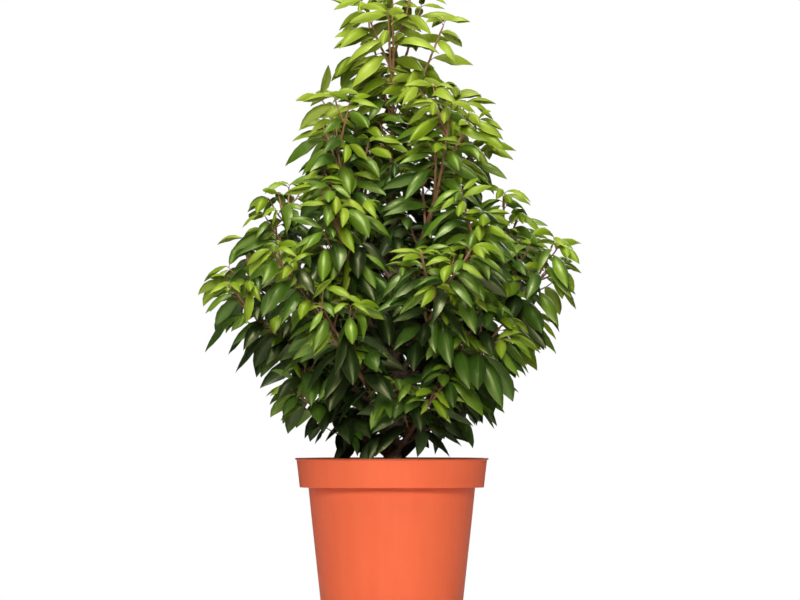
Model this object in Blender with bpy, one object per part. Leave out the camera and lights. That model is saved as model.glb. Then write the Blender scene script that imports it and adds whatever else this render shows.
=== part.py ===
"""A potted Portuguese laurel: pot, compost, trunk, boughs and masses of foliage.

Metres, +Z up. The pot stands on z = 0 with its axis on the Z axis. +X is the right-hand side seen from
the front, and the front faces -Y. The leader runs up through the crown. Tiers of limbs leave it in whorls,
each limb a smooth curve that is a bare bough at first and the stem of a leafy mass after that.
"""

import math
import random

import bmesh
import bpy
from mathutils import Matrix, Vector
from mathutils.bvhtree import BVHTree
from mathutils.kdtree import KDTree

UP = Vector((0.0, 0.0, 1.0))
GAP = 0.0003  # left between two pieces that touch
GOLDEN_ANGLE = math.radians(137.508)
SEED = 433

# Pot, radii and heights
POT_HEIGHT = 0.240
LIP_RADIUS = 0.136
LIP_HEIGHT = 0.0025
BAND_TOP_RADIUS = 0.134
BAND_FOOT_RADIUS = 0.1296
BAND_HEIGHT = 0.0415
BODY_TOP_RADIUS = 0.1175
BASE_RADIUS = 0.096
BASE_EDGE = 0.002  # rounding where the wall meets the base
POT_WALL = 0.0024
POT_FLOOR = 0.003
POT_SIDES = 44
DRAIN_COUNT = 8
DRAIN_RADIUS = 0.006
DRAIN_CIRCLE = 0.068
DRAIN_SIDES = 10

# Compost
SOIL_DEPTH_BELOW_RIM = 0.020
SOIL_CROWN_RISE = 0.004  # how far the crumbs rise and fall
SOIL_FLAT_RADIUS = 0.030  # level spot that the trunk stands on
SOIL_SIDES = 22

# Trunk, from the compost to where the leader's foliage takes over
TRUNK_FOOT_X = 0.003
TRUNK_TOP_X = 0.004
TRUNK_TOP = 0.660
TRUNK_FOOT_RADIUS = 0.0122
TRUNK_TOP_RADIUS = 0.0030
TRUNK_TAPER = 0.80
TRUNK_SWAY = 0.005
FLARE_RADIUS = 0.0065
FLARE_HEIGHT = 0.012
FLARE_LOBES = 5
TRUNK_SIDES = 10
TRUNK_RINGS = 15

# Limbs, one row for each tier from the foot up. A limb's tip is reach from the axis and at tip height,
# tilt raises the tips on the right and lowers those on the left, and lean moves them all to the right. share
# is how much of it is bare bough, and the mass beyond it has so many side shoots of about the given length.
TIERS = (
    dict(name="skirt", count=4, turn=-64, root=0.252, reach=0.141, tip=0.325, tilt=-0.006, lean=-0.008,
         rise=28, share=0.34, shoots=3, length=0.075),
    dict(name="low", count=5, turn=32, root=0.292, reach=0.203, tip=0.425, tilt=-0.033, lean=-0.013,
         rise=33, share=0.34, shoots=4, length=0.096),
    dict(name="wide", count=6, turn=51, root=0.335, reach=0.223, tip=0.500, tilt=0.005, lean=0.003,
         rise=30, share=0.36, shoots=4, length=0.105),
    dict(name="shoulder", count=5, turn=-49, root=0.400, reach=0.174, tip=0.581, tilt=-0.016, lean=0.013,
         rise=14, share=0.34, shoots=4, length=0.105),
    dict(name="upper", count=4, turn=-52, root=0.490, reach=0.115, tip=0.712, tilt=0.013, lean=0.009,
         rise=45, share=0.30, shoots=4, length=0.100),
)
LEADER_TIP = 0.8665
LEADER_SHOOTS = 7
LEADER_TURN = 347  # the way its first side shoot faces, in degrees from the right
LEADER_SHOOT_LENGTH = 0.1829
LEADER_SHRINK = 0.8082  # how much shorter its last side shoot is than its first
LIMB_BELLY = 0.52  # how far along the first heading the curve is pulled, as a share of its length
ROOT_STAGGER = 0.009  # neighbours in a whorl leave the trunk this much higher or lower
LIMB_ROOT_RADIUS = 0.0052
LIMB_TIP_RADIUS = 0.0015
LIMB_SIDES = 5
BOUGH_RINGS = 4
STEM_RINGS = 4

# Side shoots on each mass's stem
SIDE_FIRST, SIDE_LAST = 0.12, 0.82  # where along the stem they leave it
SIDE_ANGLE = math.radians(46)
SIDE_SHRINK = 0.4709  # how much shorter a limb's last is than its first
SIDE_RADIUS = 0.0021
SIDE_LIFT = 0.9629
SIDE_RINGS = 1
SHOOT_MARGIN = 0.006
SHOOT_SPOTS = 4  # spots along a shoot that are tried against the other masses' spaces
TWIG_SIDES = 3

# Leaves
LEAF_LENGTH = 0.0919
LEAF_WIDTH = 0.42  # of its length
LEAF_THICKNESS = 0.0016
LEAF_SPACING = 0.0285
LEAF_ANGLE = math.radians(52)  # from the shoot
LEAF_NECK = 0.0010
LEAF_ROLL = 1.0  # most a blade turns about its own length, in radians
TIP_SPARE = 0.005  # bare end of a shoot past its last leaf
CELL_MARGIN = 0.0006  # kept on each side of the border between two masses
SPACE_STEP = 0.010
LIMB_CLEARANCE = 0.0012
LOWEST_LEAF = 0.2425
TRIES = 9
TRY_TURN = 0.72


def clear_scene():
    for old in list(bpy.data.objects):
        bpy.data.objects.remove(old)


def material(name, colour, roughness):
    made = bpy.data.materials.new(name)
    made.use_nodes = True
    shader = made.node_tree.nodes["Principled BSDF"]
    shader.inputs["Base Color"].default_value = (*colour, 1.0)
    shader.inputs["Roughness"].default_value = roughness
    shader.inputs["Metallic"].default_value = 0.0
    return made


def add_object(name, points, faces, finish, collection=None):
    mesh = bpy.data.meshes.new(name)
    mesh.from_pydata([tuple(p) for p in points], [], faces)
    mesh.validate()
    made = bpy.data.objects.new(name, mesh)
    (collection or bpy.context.scene.collection).objects.link(made)
    mesh.materials.append(finish)
    return made


def face_outwards(made):
    edit = bmesh.new()
    edit.from_mesh(made.data)
    bmesh.ops.recalc_face_normals(edit, faces=edit.faces)
    edit.to_mesh(made.data)
    edit.free()


def turned(name, profile, sides, finish):
    """A solid of revolution about Z. The profile starts and ends on the axis."""
    edit = bmesh.new()
    line = [edit.verts.new((radius, 0.0, height)) for radius, height in profile]
    edges = [edit.edges.new(pair) for pair in zip(line, line[1:])]
    bmesh.ops.spin(edit, geom=line + edges, cent=(0, 0, 0), axis=UP, angle=math.tau, steps=sides)
    bmesh.ops.remove_doubles(edit, verts=edit.verts, dist=0.00001)
    bmesh.ops.recalc_face_normals(edit, faces=edit.faces)
    mesh = bpy.data.meshes.new(name)
    edit.to_mesh(mesh)
    edit.free()
    mesh.materials.append(finish)
    made = bpy.data.objects.new(name, mesh)
    bpy.context.scene.collection.objects.link(made)
    mesh.shade_smooth()
    mesh.set_sharp_from_angle(angle=math.radians(30))
    return made


def boolean(target, cutter, operation, solver="EXACT"):
    """Applies one Boolean with an object or a collection, and removes what it used."""
    step = target.modifiers.new("join", "BOOLEAN")
    step.operation = operation
    step.solver = solver
    if isinstance(cutter, bpy.types.Collection):
        step.operand_type = "COLLECTION"
        step.collection = cutter
        used = list(cutter.objects)
    else:
        step.object = cutter
        used = [cutter]
    with bpy.context.temp_override(object=target, active_object=target, selected_objects=[target]):
        bpy.ops.object.modifier_apply(modifier=step.name)
    for old in used:
        bpy.data.objects.remove(old)
    if isinstance(cutter, bpy.types.Collection):
        bpy.data.collections.remove(cutter)


def wall_radius(height):
    """The pot's outer radius below the band."""
    return BASE_RADIUS + (BODY_TOP_RADIUS - BASE_RADIUS) * height / (POT_HEIGHT - BAND_HEIGHT)


def band_inside(height):
    """The radius inside the band."""
    ledge = POT_HEIGHT - BAND_HEIGHT + POT_WALL
    share = (height - ledge) / (POT_HEIGHT - ledge)
    return BAND_FOOT_RADIUS + (BAND_TOP_RADIUS - BAND_FOOT_RADIUS) * share - POT_WALL


def build_pot(finish):
    ledge = POT_HEIGHT - BAND_HEIGHT
    profile = [
        (0.0, 0.0),
        (BASE_RADIUS - BASE_EDGE, 0.0),
        (BASE_RADIUS, BASE_EDGE),
        (BODY_TOP_RADIUS, ledge),
        (BAND_FOOT_RADIUS, ledge),
        (BAND_TOP_RADIUS, POT_HEIGHT - LIP_HEIGHT),
        (LIP_RADIUS, POT_HEIGHT - LIP_HEIGHT),
        (LIP_RADIUS, POT_HEIGHT),
        (BAND_TOP_RADIUS - POT_WALL, POT_HEIGHT),
        (BAND_FOOT_RADIUS - POT_WALL, ledge + POT_WALL),
        (BODY_TOP_RADIUS - POT_WALL, ledge + POT_WALL),
        (wall_radius(POT_FLOOR) - POT_WALL, POT_FLOOR),
        (0.0, POT_FLOOR),
    ]
    pot = turned("pot", profile, POT_SIDES, finish)
    drains = bpy.data.collections.new("drains")
    bpy.context.scene.collection.children.link(drains)
    for index in range(DRAIN_COUNT):
        around = math.tau * (index + 0.5) / DRAIN_COUNT
        spot = Vector((DRAIN_CIRCLE * math.cos(around), DRAIN_CIRCLE * math.sin(around), POT_FLOOR / 2))
        points, faces = tube([spot - UP * POT_FLOOR, spot + UP * POT_FLOOR], [DRAIN_RADIUS] * 2, DRAIN_SIDES)
        drain = add_object("drain", points, faces, finish, drains)
        face_outwards(drain)
    boolean(pot, drains, "DIFFERENCE")
    return pot


def build_soil(finish, rng):
    """Compost that fills the pot, with a level spot round the trunk and crumbs beyond it."""
    ledge = POT_HEIGHT - BAND_HEIGHT
    top = POT_HEIGHT - SOIL_DEPTH_BELOW_RIM
    space = POT_WALL + GAP * 1.5
    profile = [
        (0.0, POT_FLOOR + GAP),
        (wall_radius(POT_FLOOR) - space, POT_FLOOR + GAP),
        (BODY_TOP_RADIUS - space, ledge + POT_WALL + GAP),
        (band_inside(ledge + POT_WALL) - space / 6, ledge + POT_WALL + GAP),
        (band_inside(top - SOIL_CROWN_RISE) - space / 6, top - SOIL_CROWN_RISE),
        (band_inside(top) * 0.86, top),
        (band_inside(top) * 0.66, top),
        (band_inside(top) * 0.45, top),
        (SOIL_FLAT_RADIUS, top),
        (0.0, top),
    ]
    soil = turned("compost", profile, SOIL_SIDES, finish)
    for vertex in soil.data.vertices:
        radius = math.hypot(vertex.co.x, vertex.co.y)
        if vertex.co.z > top - 0.0001 and radius > SOIL_FLAT_RADIUS * 1.2:
            vertex.co.z += rng.uniform(-SOIL_CROWN_RISE, SOIL_CROWN_RISE)
    return soil


def tube(path, radii, sides, headings=None):
    """Points and faces of a closed tube along a path, with a flat end at each side of it.

    Each ring is square to its heading, or to its neighbours' chord where none are given."""
    points, faces = [], []
    across = (path[1] - path[0]).orthogonal().normalized()
    for index, spot in enumerate(path):
        before = path[max(index - 1, 0)]
        after = path[min(index + 1, len(path) - 1)]
        heading = headings[index] if headings else (after - before).normalized()
        across = (across - heading * across.dot(heading)).normalized()
        other = heading.cross(across)
        for side in range(sides):
            around = math.tau * side / sides
            points.append(spot + (across * math.cos(around) + other * math.sin(around)) * radii[index])
    for ring in range(len(path) - 1):
        for side in range(sides):
            a = ring * sides + side
            b = ring * sides + (side + 1) % sides
            faces.append((a, b, b + sides, a + sides))
    faces.append(tuple(reversed(range(sides))))
    faces.append(tuple(range((len(path) - 1) * sides, len(path) * sides)))
    return points, faces


def trunk_axis(height):
    """The trunk's centre at a height."""
    foot = POT_HEIGHT - SOIL_DEPTH_BELOW_RIM
    share = (height - foot) / (TRUNK_TOP - foot)
    sway = TRUNK_SWAY * math.sin(share * math.tau * 1.25)
    return Vector((TRUNK_FOOT_X + (TRUNK_TOP_X - TRUNK_FOOT_X) * share - sway, sway * 0.8, height))


def trunk_radius(height):
    foot = POT_HEIGHT - SOIL_DEPTH_BELOW_RIM
    share = min(max((height - foot) / (TRUNK_TOP - foot), 0.0), 1.0)
    return TRUNK_TOP_RADIUS + (TRUNK_FOOT_RADIUS - TRUNK_TOP_RADIUS) * (1.0 - share) ** TRUNK_TAPER


def build_trunk(name, finish, extra=0.0):
    """The trunk from its flat foot to its tip. extra swells it, for the cutter that fits the boughs to it."""
    foot = POT_HEIGHT - SOIL_DEPTH_BELOW_RIM + GAP
    heights = [foot + (TRUNK_TOP - foot) * (ring / TRUNK_RINGS) ** 1.35 for ring in range(TRUNK_RINGS + 1)]
    points, faces = tube([trunk_axis(h) for h in heights], [1.0] * len(heights), TRUNK_SIDES)
    for index, height in enumerate(heights):
        centre = trunk_axis(height)
        flare = FLARE_RADIUS * math.exp(-(height - foot) / FLARE_HEIGHT)
        for side in range(TRUNK_SIDES):
            around = math.tau * side / TRUNK_SIDES
            lobe = 1.0 + 0.5 * math.cos(FLARE_LOBES * around)
            radius = trunk_radius(height) + flare * lobe + extra
            points[index * TRUNK_SIDES + side] = centre + Vector(
                (radius * math.cos(around), radius * math.sin(around), 0.0)
            )
    trunk = add_object(name, points, faces, finish)
    face_outwards(trunk)
    trunk.data.shade_smooth()
    trunk.data.set_sharp_from_angle(angle=math.radians(60))
    return trunk


def limb_plan():
    """Each limb's name, curve, root radius and share of bare bough, tier by tier, with the leader last."""
    limbs = []
    for tier in TIERS:
        for index in range(tier["count"]):
            around = math.radians(tier["turn"] + 360.0 * index / tier["count"])
            out = Vector((math.cos(around), math.sin(around), 0.0))
            root_height = tier["root"] + ROOT_STAGGER * (index % 3 - 1)
            root = trunk_axis(root_height)
            tip = out * tier["reach"] + UP * (tier["tip"] + tier["tilt"] * out.x)
            tip.x += tier["lean"]
            rise = math.radians(tier["rise"])
            first = out * math.cos(rise) + UP * math.sin(rise)
            bend = root + first * (tip - root).length * LIMB_BELLY
            limbs.append(
                dict(
                    name=f"{tier['name']}_{index + 1}",
                    curve=(root, bend, tip),
                    radius=LIMB_ROOT_RADIUS,
                    share=tier["share"],
                    shoots=tier["shoots"],
                    length=tier["length"],
                    shrink=SIDE_SHRINK,
                )
            )
    root = trunk_axis(TRUNK_TOP)
    tip = Vector((TRUNK_TOP_X - 0.003, 0.004, LEADER_TIP))
    limbs.append(
        dict(
            name="leader",
            curve=(root, (root + tip) / 2 + Vector((0.004, 0, 0)), tip),
            radius=TRUNK_TOP_RADIUS,
            share=0.0,
            shoots=LEADER_SHOOTS,
            length=LEADER_SHOOT_LENGTH,
            shrink=LEADER_SHRINK,
            turn=LEADER_TURN,
        )
    )
    return limbs


def along(curve, share):
    """A point of a quadratic curve."""
    root, bend, tip = curve
    return root * (1 - share) ** 2 + bend * 2 * share * (1 - share) + tip * share**2


def tangent(curve, share):
    """The quadratic's rate of change with its share, along its heading."""
    root, bend, tip = curve
    return (bend - root) * 2 * (1 - share) + (tip - bend) * 2 * share


def limb_radius(limb, share):
    return LIMB_TIP_RADIUS + (limb["radius"] - LIMB_TIP_RADIUS) * max(1 - share, 0.0) ** 1.2


def build_bough(limb, finish, trunk_cutter):
    """The bare part of a limb. Its root is cut to the trunk, and its tip is flat."""
    shares = [limb["share"] * ring / BOUGH_RINGS for ring in range(BOUGH_RINGS + 1)]
    curve = limb["curve"]
    headings = [tangent(curve, s).normalized() for s in shares]
    radii = [limb_radius(limb, s) for s in shares]
    points, faces = tube([along(curve, s) for s in shares], radii, LIMB_SIDES, headings)
    bough = add_object("bough_" + limb["name"], points, faces, finish)
    face_outwards(bough)
    cutter = trunk_cutter.copy()
    cutter.data = trunk_cutter.data.copy()
    bpy.context.scene.collection.objects.link(cutter)
    boolean(bough, cutter, "DIFFERENCE")
    bough.data.shade_smooth()
    bough.data.set_sharp_from_angle(angle=math.radians(70))
    return bough


def stem_start(limb):
    """The share of the limb where its mass's stem begins, just clear of the bough's tip or the trunk's."""
    return limb["share"] + GAP * 1.2 / tangent(limb["curve"], limb["share"]).length


def shoot_path(start, heading, length, lift, rings):
    """Points along a shoot that turns up as it grows."""
    path = [start.copy()]
    for _ in range(rings):
        heading = (heading + UP * lift / rings).normalized()
        path.append(path[-1] + heading * length / rings)
    return path


def stem_shares(limb):
    """The shares of the limb where its mass's stem has a ring."""
    first = stem_start(limb)
    return [first + (1 - first) * ring / STEM_RINGS for ring in range(STEM_RINGS + 1)]


def plan_stem(limb):
    """The path and radii of a mass's stem."""
    shares = stem_shares(limb)
    return [along(limb["curve"], s) for s in shares], [limb_radius(limb, s) for s in shares]


def level_side(axis):
    """A level direction square to an axis, or one to the right where the axis is nearly upright."""
    side = UP.cross(axis)
    if side.length < 0.3:
        side = Vector((1.0, 0.0, 0.0)) - axis * axis.x
    return side.normalized()


def plan_shoots(limb, stem, space, limbs_tree, strangers, rng):
    """A mass's stem and side shoots. A shoot that would leave the mass's space is turned or cut short.

    strangers are trees of the other masses' stems and shoots."""
    first = stem_start(limb)
    shoots = [stem]
    around = math.radians(limb["turn"]) if "turn" in limb else rng.uniform(0, math.tau)
    for index in range(limb["shoots"]):
        share = SIDE_FIRST + (SIDE_LAST - SIDE_FIRST) * index / (limb["shoots"] - 1)
        at = first + (1 - first) * share
        start = along(limb["curve"], at)
        axis = (along(limb["curve"], min(at + 0.02, 1.0)) - along(limb["curve"], at - 0.02)).normalized()
        size = limb["length"] * (1.0 - limb["shrink"] * share) * rng.uniform(0.85, 1.1)
        for attempt in range(TRIES * 2):
            side = Matrix.Rotation(around + attempt * 0.55, 3, axis) @ level_side(axis)
            heading = axis * math.cos(SIDE_ANGLE) + side * math.sin(SIDE_ANGLE)
            heading.z = max(heading.z, -0.15)
            length = size * (1.0 - 0.05 * attempt)
            path = shoot_path(start, heading.normalized(), length, SIDE_LIFT, SIDE_RINGS)
            spots = [point_on(path, k / SHOOT_SPOTS)[0] for k in range(1, SHOOT_SPOTS + 1)]
            if not stays_home(spots, space, SHOOT_MARGIN):
                continue
            radii = [SIDE_RADIUS * (1 - 0.38 * ring / SIDE_RINGS) for ring in range(SIDE_RINGS + 1)]
            solid = BVHTree.FromPolygons(*tube(path, [radius + GAP for radius in radii], TWIG_SIDES))
            if solid.overlap(limbs_tree) or any(solid.overlap(other) for other in strangers):
                continue
            shoots.append((path, radii))
            break
        around += GOLDEN_ANGLE
    return shoots


def droop_at(height):
    """How far leaves hang, from 0.45 at the top of the crown to 1.45 at its foot."""
    share = min(max((height - POT_HEIGHT) / (LEADER_TIP - POT_HEIGHT), 0.0), 1.0)
    return 1.45 - 1.0 * share**0.8


def leaf_points(spot, heading, length, droop, roll):
    """The eight corners of a leaf that leaves a shoot at spot and arches down.

    They are the neck's top and foot, the two widest corners, the two outer corners, the tip and the keel."""
    face = (UP - heading * heading.z + heading.orthogonal() * 0.001).normalized()
    across = Matrix.Rotation(roll, 3, heading) @ heading.cross(face).normalized()
    line, here, way = [spot], spot.copy(), heading.copy()
    stations = (0.36, 0.70, 1.0)
    before = 0.0
    for station in stations:
        step = station - before
        way = (way - UP * droop * step * 1.25).normalized()
        here = here + way * length * step
        line.append(here.copy())
        before = station
    half = length * LEAF_WIDTH / 2
    middle, outer, tip = line[1:]
    normal = across.cross((middle - spot).normalized()).normalized()
    neck = heading.cross(across).normalized() * -LEAF_NECK / 2
    fold = normal * half * 0.22
    corners = [
        spot + neck,
        spot - neck,
        middle - across * half + fold,
        middle + across * half + fold,
        outer - across * half * 0.72 + fold * 0.6,
        outer + across * half * 0.72 + fold * 0.6,
        tip,
        middle - normal * LEAF_THICKNESS,
    ]
    return corners


LEAF_FACES = (
    (0, 2, 3),
    (2, 4, 3),
    (3, 4, 5),
    (4, 6, 5),
    (1, 7, 2),
    (2, 7, 4),
    (4, 7, 6),
    (6, 7, 5),
    (5, 7, 3),
    (3, 7, 1),
    (0, 1, 2),
    (0, 3, 1),
)


def leaf_samples(corners):
    """Corners and mid points that have to stay in the mass's space."""
    top = corners[2:7]
    return top + [(a + b) / 2 for a, b in zip(top, top[1:])] + [corners[7]]


def kd_tree(spots):
    tree = KDTree(len(spots))
    for index, spot in enumerate(spots):
        tree.insert(spot, index)
    tree.balance()
    return tree


def spaces(paths_by_mass):
    """For each mass a tree of spots on its own shoots, and one of spots on all the others'."""
    spots = []
    for paths in paths_by_mass:
        own = []
        for path in paths:
            for a, b in zip(path, path[1:]):
                steps = max(1, round((b - a).length / SPACE_STEP))
                own += [a.lerp(b, (k + 0.5) / steps) for k in range(steps)]
        spots.append(own)
    trees = []
    for index, own in enumerate(spots):
        rest = [spot for order, other in enumerate(spots) if order != index for spot in other]
        trees.append((kd_tree(own), kd_tree(rest)))
    return trees


def stays_home(spots, space, margin):
    """Whether every spot is above the rim and nearer to its own mass's shoots than to any other's."""
    own, others = space
    for spot in spots:
        if spot.z < LOWEST_LEAF:
            return False
        if others.find(spot)[2] - own.find(spot)[2] < margin * 2:
            return False
    return True


def shoots_tree(shoots):
    """A tree of a mass's own stem and shoots."""
    points, faces = [], []
    for path, radii in shoots:
        more_points, more_faces = tube(path, [radius + 0.0004 for radius in radii], TWIG_SIDES)
        faces.extend(tuple(len(points) + i for i in face) for face in more_faces)
        points.extend(more_points)
    return BVHTree.FromPolygons(points, faces)


def plan_leaves(shoots, space, limbs_tree, strangers, rng):
    """The leaves of a mass: a spiral up each shoot, each the first of a few tries that fits.

    strangers are trees of the other masses' solids."""
    leaves = []
    others = list(strangers)
    twigs = shoots_tree(shoots)
    around = rng.uniform(0, math.tau)
    for order, (path, _radii) in enumerate(shoots):
        length = sum((b - a).length for a, b in zip(path, path[1:]))
        count = max(2, round(length / LEAF_SPACING))
        for index in range(count + 1):
            share = (index + 0.9) / (count + 0.9)
            if order == 0 and share < 0.14:
                continue
            spot, axis = point_on(path, min(share, 1.0 - TIP_SPARE / length))
            youth = max(0.0, (share - 0.7) / 0.3)
            size = LEAF_LENGTH * (1.0 - 0.30 * youth) * rng.uniform(0.9, 1.06)
            around += GOLDEN_ANGLE
            roll = rng.uniform(-LEAF_ROLL, LEAF_ROLL)
            for attempt in range(TRIES):
                turn = around + TRY_TURN * attempt
                side = Matrix.Rotation(turn, 3, axis) @ axis.orthogonal().normalized()
                angle = LEAF_ANGLE * (1.0 - 0.45 * youth)
                heading = (axis * math.cos(angle) + side * math.sin(angle)).normalized()
                droop = droop_at(spot.z) * (1.0 - 0.5 * youth) * (1 + 0.08 * attempt)
                if heading.z < -0.35:
                    heading = (heading + UP * 0.4).normalized()
                corners = leaf_points(spot, heading, size * (1 - 0.035 * attempt), droop, roll)
                if not stays_home(leaf_samples(corners), space, CELL_MARGIN):
                    continue
                solid = BVHTree.FromPolygons(corners, LEAF_FACES)
                if solid.overlap(limbs_tree) or any(solid.overlap(other) for other in others):
                    continue
                outer = [corners[0].lerp(corners[6], 0.16), corners[1].lerp(corners[6], 0.16)] + corners[2:]
                if BVHTree.FromPolygons(outer, LEAF_FACES).overlap(twigs):
                    continue
                leaves.append(corners)
                others.append(BVHTree.FromPolygons(outer, LEAF_FACES))
                break
    return leaves


def point_on(path, share):
    """A point and heading at a share of a path's length."""
    lengths = [(b - a).length for a, b in zip(path, path[1:])]
    left = share * sum(lengths)
    for (a, b), length in zip(zip(path, path[1:]), lengths):
        if left <= length:
            return a.lerp(b, left / length), (b - a).normalized()
        left -= length
    return path[-1].copy(), (path[-1] - path[-2]).normalized()


def build_mass(limb, shoots, leaves, finish):
    """One node: stem, side shoots and leaves joined by a Boolean union."""
    name = "foliage_" + limb["name"]
    headings = [tangent(limb["curve"], s).normalized() for s in stem_shares(limb)]
    points, faces = tube(*shoots[0], TWIG_SIDES, headings)
    mass = add_object(name, points, faces, finish)
    face_outwards(mass)
    rest = bpy.data.collections.new(name + "_rest")
    bpy.context.scene.collection.children.link(rest)
    for path, radii in shoots[1:]:
        points, faces = tube(path, radii, TWIG_SIDES)
        face_outwards(add_object("twig", points, faces, finish, rest))
    for corners in leaves:
        face_outwards(add_object("leaf", corners, LEAF_FACES, finish, rest))
    boolean(mass, rest, "UNION")
    return mass


def limbs_guard(limbs):
    """A tree of the trunk and boughs, swollen by the clearance that leaves keep."""
    points, faces = [], []

    def add(more_points, more_faces):
        base = len(points)
        points.extend(more_points)
        faces.extend(tuple(base + i for i in face) for face in more_faces)

    heights = [POT_HEIGHT + (TRUNK_TOP - POT_HEIGHT) * k / 24 for k in range(-1, 25)]
    add(*tube([trunk_axis(h) for h in heights], [trunk_radius(h) + LIMB_CLEARANCE for h in heights], 10))
    for limb in limbs:
        if limb["share"] > 0:
            shares = [limb["share"] * k / 6 for k in range(7)]
            radii = [limb_radius(limb, s) + LIMB_CLEARANCE for s in shares]
            add(*tube([along(limb["curve"], s) for s in shares], radii, 8))
    return BVHTree.FromPolygons(points, faces)


def plan_crown():
    """The limbs, each one's shoots and each one's leaves."""
    limbs = limb_plan()
    stems = [plan_stem(limb) for limb in limbs]
    stem_spaces = spaces([[stem[0]] for stem in stems])
    guard = limbs_guard(limbs)
    solids = [[BVHTree.FromPolygons(*tube(*stem, TWIG_SIDES))] for stem in stems]
    shoots = []
    for index, (limb, stem) in enumerate(zip(limbs, stems)):
        strangers = [tree for order, trees in enumerate(solids) if order != index for tree in trees]
        rng = random.Random(SEED + index)
        shoots.append(plan_shoots(limb, stem, stem_spaces[index], guard, strangers, rng))
        solids[index] += [BVHTree.FromPolygons(*tube(*shoot, TWIG_SIDES)) for shoot in shoots[-1][1:]]
    leaf_spaces = spaces([[shoot[0] for shoot in planned] for planned in shoots])
    leaves = []
    for index, planned in enumerate(shoots):
        strangers = [tree for order, trees in enumerate(solids) if order != index for tree in trees]
        rng = random.Random(SEED * 100 + index)
        leaves.append(plan_leaves(planned, leaf_spaces[index], guard, strangers, rng))
        solids[index] += [BVHTree.FromPolygons(corners, LEAF_FACES) for corners in leaves[-1]]
    return limbs, shoots, leaves


def main():
    clear_scene()
    terracotta = material("terracotta_plastic", (0.78, 0.145, 0.065), 0.42)
    compost = material("compost", (0.035, 0.022, 0.014), 0.95)
    bark = material("bark", (0.085, 0.050, 0.038), 0.80)
    foliage = material("foliage", (0.085, 0.17, 0.022), 0.38)

    build_pot(terracotta)
    build_soil(compost, random.Random(SEED))
    build_trunk("trunk", bark)
    limbs, shoots, leaves = plan_crown()
    cutter = build_trunk("trunk_cutter", bark, GAP)
    for limb in limbs:
        if limb["share"] > 0:
            build_bough(limb, bark, cutter)
    bpy.data.objects.remove(cutter)
    for limb, planned, grown in zip(limbs, shoots, leaves):
        build_mass(limb, planned, grown, foliage)
    print("leaves", sum(len(grown) for grown in leaves), [len(grown) for grown in leaves])


main()
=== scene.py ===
import random
from math import asin, atan2, cos, exp, hypot, radians, sin, sqrt, tau

import bmesh
import bpy
import numpy as np
from mathutils import Matrix, Vector
from mathutils.bvhtree import BVHTree
from mathutils.kdtree import KDTree


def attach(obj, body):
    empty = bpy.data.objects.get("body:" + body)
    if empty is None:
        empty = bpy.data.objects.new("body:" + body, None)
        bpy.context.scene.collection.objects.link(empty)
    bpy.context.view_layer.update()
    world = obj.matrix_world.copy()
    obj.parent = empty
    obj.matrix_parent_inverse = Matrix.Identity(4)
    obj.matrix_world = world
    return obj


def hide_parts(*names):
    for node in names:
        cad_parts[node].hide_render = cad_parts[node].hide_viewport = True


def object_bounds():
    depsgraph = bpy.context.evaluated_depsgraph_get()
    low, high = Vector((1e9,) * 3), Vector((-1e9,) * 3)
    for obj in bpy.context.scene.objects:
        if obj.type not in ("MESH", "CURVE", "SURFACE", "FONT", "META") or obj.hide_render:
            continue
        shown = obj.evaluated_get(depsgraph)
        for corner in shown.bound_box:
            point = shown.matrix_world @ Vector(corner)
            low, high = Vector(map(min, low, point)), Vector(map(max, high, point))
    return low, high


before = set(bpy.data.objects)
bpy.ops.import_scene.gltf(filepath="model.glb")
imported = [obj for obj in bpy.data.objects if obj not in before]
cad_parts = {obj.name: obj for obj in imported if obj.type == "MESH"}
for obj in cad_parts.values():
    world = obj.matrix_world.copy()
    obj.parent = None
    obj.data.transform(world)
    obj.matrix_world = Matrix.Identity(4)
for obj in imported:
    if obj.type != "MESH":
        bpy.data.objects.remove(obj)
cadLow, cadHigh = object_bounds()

up = Vector((0.0, 0.0, 1.0))
goldenAngle = radians(137.508)
nodeNames = sorted(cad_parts)
boughNames = [name for name in nodeNames if name.startswith("bough_")]
foliageNames = [name for name in nodeNames if name.startswith("foliage_")]


# Small tools for numbers, for modelling and for pieces

def within(value, low=0.0, high=1.0):
    return min(max(value, low), high)


def between(low, high, share):
    return low + (high - low) * share


def ring(radius, around, height):
    return Vector((radius * cos(around), radius * sin(around), height))


def setAll(thing, settings):
    for key, value in settings.items():
        setattr(thing, key, value)
    return thing


def selectNothing():
    bpy.ops.object.select_all(action="DESELECT")


def makeActive(piece):
    selectNothing()
    piece.select_set(True)
    bpy.context.view_layer.objects.active = piece


def editAll(kind="VERT"):
    bpy.ops.object.mode_set(mode="EDIT")
    bpy.ops.mesh.select_mode(type=kind)
    bpy.ops.mesh.select_all(action="SELECT")


def addStep(piece, kind, **settings):
    setAll(piece.modifiers.new(kind.lower(), kind), settings)


def applySteps(piece):
    makeActive(piece)
    for step in list(piece.modifiers):
        bpy.ops.object.modifier_apply(modifier=step.name)


def settle(piece, angle):
    # doubles merged, faces outwards, smooth below the angle, and the place put into the mesh
    makeActive(piece)
    bpy.ops.object.transform_apply(location=True, rotation=True, scale=True)
    editAll()
    bpy.ops.mesh.remove_doubles(threshold=0.000005)
    bpy.ops.mesh.normals_make_consistent(inside=False)
    bpy.ops.object.mode_set(mode="OBJECT")
    bpy.ops.object.shade_smooth_by_angle(angle=radians(angle))


def finishPiece(piece, finish, stoodFor):
    piece.data.materials.clear()
    piece.data.materials.append(finish)
    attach(piece, "root")
    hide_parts(*stoodFor)
    print("stage:", piece.name, len(piece.data.polygons))


def putInScene(name, data):
    piece = bpy.data.objects.new(name, data)
    bpy.context.scene.collection.objects.link(piece)
    return piece


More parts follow.
